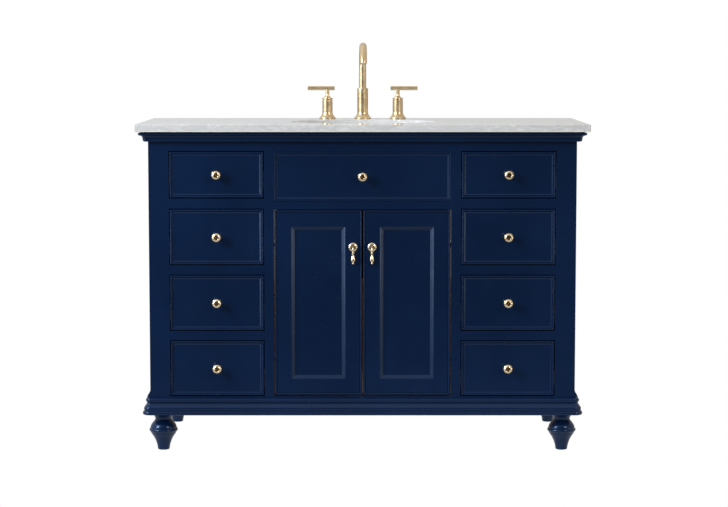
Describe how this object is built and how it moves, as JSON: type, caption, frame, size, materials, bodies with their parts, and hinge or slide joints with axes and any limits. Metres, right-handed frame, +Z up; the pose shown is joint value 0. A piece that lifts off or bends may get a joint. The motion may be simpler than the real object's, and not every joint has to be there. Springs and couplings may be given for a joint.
{
  "type": "bathroom vanity cabinet",
  "caption": "Bathroom vanity cabinet on turned feet, with side drawers, middle doors with drop pulls, a polished stone top, an undermount oval bowl and an arched deck tap.",
  "frame": {"origin": "on the floor under the middle of the stone top", "axes": "+Z up, the front faces -Y, +X to the right of someone who faces the front"},
  "size_m": [1.2192, 0.546, 1.1077],
  "materials": {
    "navy_paint": "semi-gloss navy paint on wood",
    "birch_ply": "clear satin lacquer on birch plywood",
    "pull_brass": "polished champagne brass",
    "tap_brass": "brushed champagne brass",
    "marble": "polished white marble with grey veins",
    "glazed_china": "glossy white glaze",
    "zinc_steel": "bright zinc plate"
  },
  "bodies": {
    "cabinet": {"face_frame": "navy_paint", "side_panel_left": "navy_paint", "side_panel_right": "navy_paint", "crown_moulding": "navy_paint", "base_moulding": "navy_paint", "foot_front_left": "navy_paint", "foot_front_right": "navy_paint", "foot_back_left": "navy_paint", "foot_back_right": "navy_paint", "false_front": "navy_paint", "partition_left": "birch_ply", "partition_right": "birch_ply", "cabinet_floor": "birch_ply", "back_panel": "birch_ply", "false_front_knob": "pull_brass", "tap_spout": "tap_brass", "tap_valve_left": "tap_brass", "tap_valve_right": "tap_brass", "drain_flange": "tap_brass", "stone_top": "marble", "sink_bowl": "glazed_china", "hinge_left_upper": "zinc_steel", "hinge_left_lower": "zinc_steel", "hinge_right_upper": "zinc_steel", "hinge_right_lower": "zinc_steel"},
    "drawer_left_1": {"drawer_front_left_1": "navy_paint", "drawer_box_left_1": "birch_ply", "drawer_knob_left_1": "pull_brass"},
    "drawer_left_2": {"drawer_front_left_2": "navy_paint", "drawer_box_left_2": "birch_ply", "drawer_knob_left_2": "pull_brass"},
    "drawer_left_3": {"drawer_front_left_3": "navy_paint", "drawer_box_left_3": "birch_ply", "drawer_knob_left_3": "pull_brass"},
    "drawer_left_4": {"drawer_front_left_4": "navy_paint", "drawer_box_left_4": "birch_ply", "drawer_knob_left_4": "pull_brass"},
    "drawer_right_1": {"drawer_front_right_1": "navy_paint", "drawer_box_right_1": "birch_ply", "drawer_knob_right_1": "pull_brass"},
    "drawer_right_2": {"drawer_front_right_2": "navy_paint", "drawer_box_right_2": "birch_ply", "drawer_knob_right_2": "pull_brass"},
    "drawer_right_3": {"drawer_front_right_3": "navy_paint", "drawer_box_right_3": "birch_ply", "drawer_knob_right_3": "pull_brass"},
    "drawer_right_4": {"drawer_front_right_4": "navy_paint", "drawer_box_right_4": "birch_ply", "drawer_knob_right_4": "pull_brass"},
    "door_left": {"door_frame_left": "navy_paint", "door_panel_left": "navy_paint", "pull_rosette_left": "pull_brass"},
    "pull_left": {"pull_drop_left": "pull_brass"},
    "lever_left": {"tap_lever_left": "tap_brass"},
    "door_right": {"door_frame_right": "navy_paint", "door_panel_right": "navy_paint", "pull_rosette_right": "pull_brass"},
    "pull_right": {"pull_drop_right": "pull_brass"},
    "lever_right": {"tap_lever_right": "tap_brass"},
    "stopper": {"drain_stopper": "tap_brass"}
  },
  "joints": [
    {"name": "drawer_left_1_slide", "type": "slide", "parent": "cabinet", "child": "drawer_left_1", "axis": [0, -1, 0], "range_m": [0, 0.33]},
    {"name": "drawer_left_2_slide", "type": "slide", "parent": "cabinet", "child": "drawer_left_2", "axis": [0, -1, 0], "range_m": [0, 0.33]},
    {"name": "drawer_left_3_slide", "type": "slide", "parent": "cabinet", "child": "drawer_left_3", "axis": [0, -1, 0], "range_m": [0, 0.33]},
    {"name": "drawer_left_4_slide", "type": "slide", "parent": "cabinet", "child": "drawer_left_4", "axis": [0, -1, 0], "range_m": [0, 0.33]},
    {"name": "drawer_right_1_slide", "type": "slide", "parent": "cabinet", "child": "drawer_right_1", "axis": [0, -1, 0], "range_m": [0, 0.33]},
    {"name": "drawer_right_2_slide", "type": "slide", "parent": "cabinet", "child": "drawer_right_2", "axis": [0, -1, 0], "range_m": [0, 0.33]},
    {"name": "drawer_right_3_slide", "type": "slide", "parent": "cabinet", "child": "drawer_right_3", "axis": [0, -1, 0], "range_m": [0, 0.33]},
    {"name": "drawer_right_4_slide", "type": "slide", "parent": "cabinet", "child": "drawer_right_4", "axis": [0, -1, 0], "range_m": [0, 0.33]},
    {"name": "door_left_hinge", "type": "hinge", "parent": "cabinet", "child": "door_left", "pos_m": [-0.2382, -0.24, 0.4061], "axis": [0, 0, -1], "range_deg": [0, 85]},
    {"name": "pull_left_swing", "type": "hinge", "parent": "door_left", "child": "pull_left", "pos_m": [-0.0256, -0.2467, 0.558], "axis": [-1, 0, 0], "range_deg": [0, 60]},
    {"name": "lever_left_turn", "type": "hinge", "parent": "cabinet", "child": "lever_left", "pos_m": [-0.1016, 0.21, 0.977], "axis": [0, 0, 1], "range_deg": [0, 90]},
    {"name": "door_right_hinge", "type": "hinge", "parent": "cabinet", "child": "door_right", "pos_m": [0.2382, -0.24, 0.4061], "axis": [0, 0, 1], "range_deg": [0, 85]},
    {"name": "pull_right_swing", "type": "hinge", "parent": "door_right", "child": "pull_right", "pos_m": [0.0256, -0.2467, 0.558], "axis": [-1, 0, 0], "range_deg": [0, 60]},
    {"name": "lever_right_turn", "type": "hinge", "parent": "cabinet", "child": "lever_right", "pos_m": [0.1016, 0.21, 0.977], "axis": [0, 0, -1], "range_deg": [0, 90]},
    {"name": "stopper_lift", "type": "slide", "parent": "cabinet", "child": "stopper", "axis": [0, 0, 1], "range_m": [0, 0.008]}
  ]
}
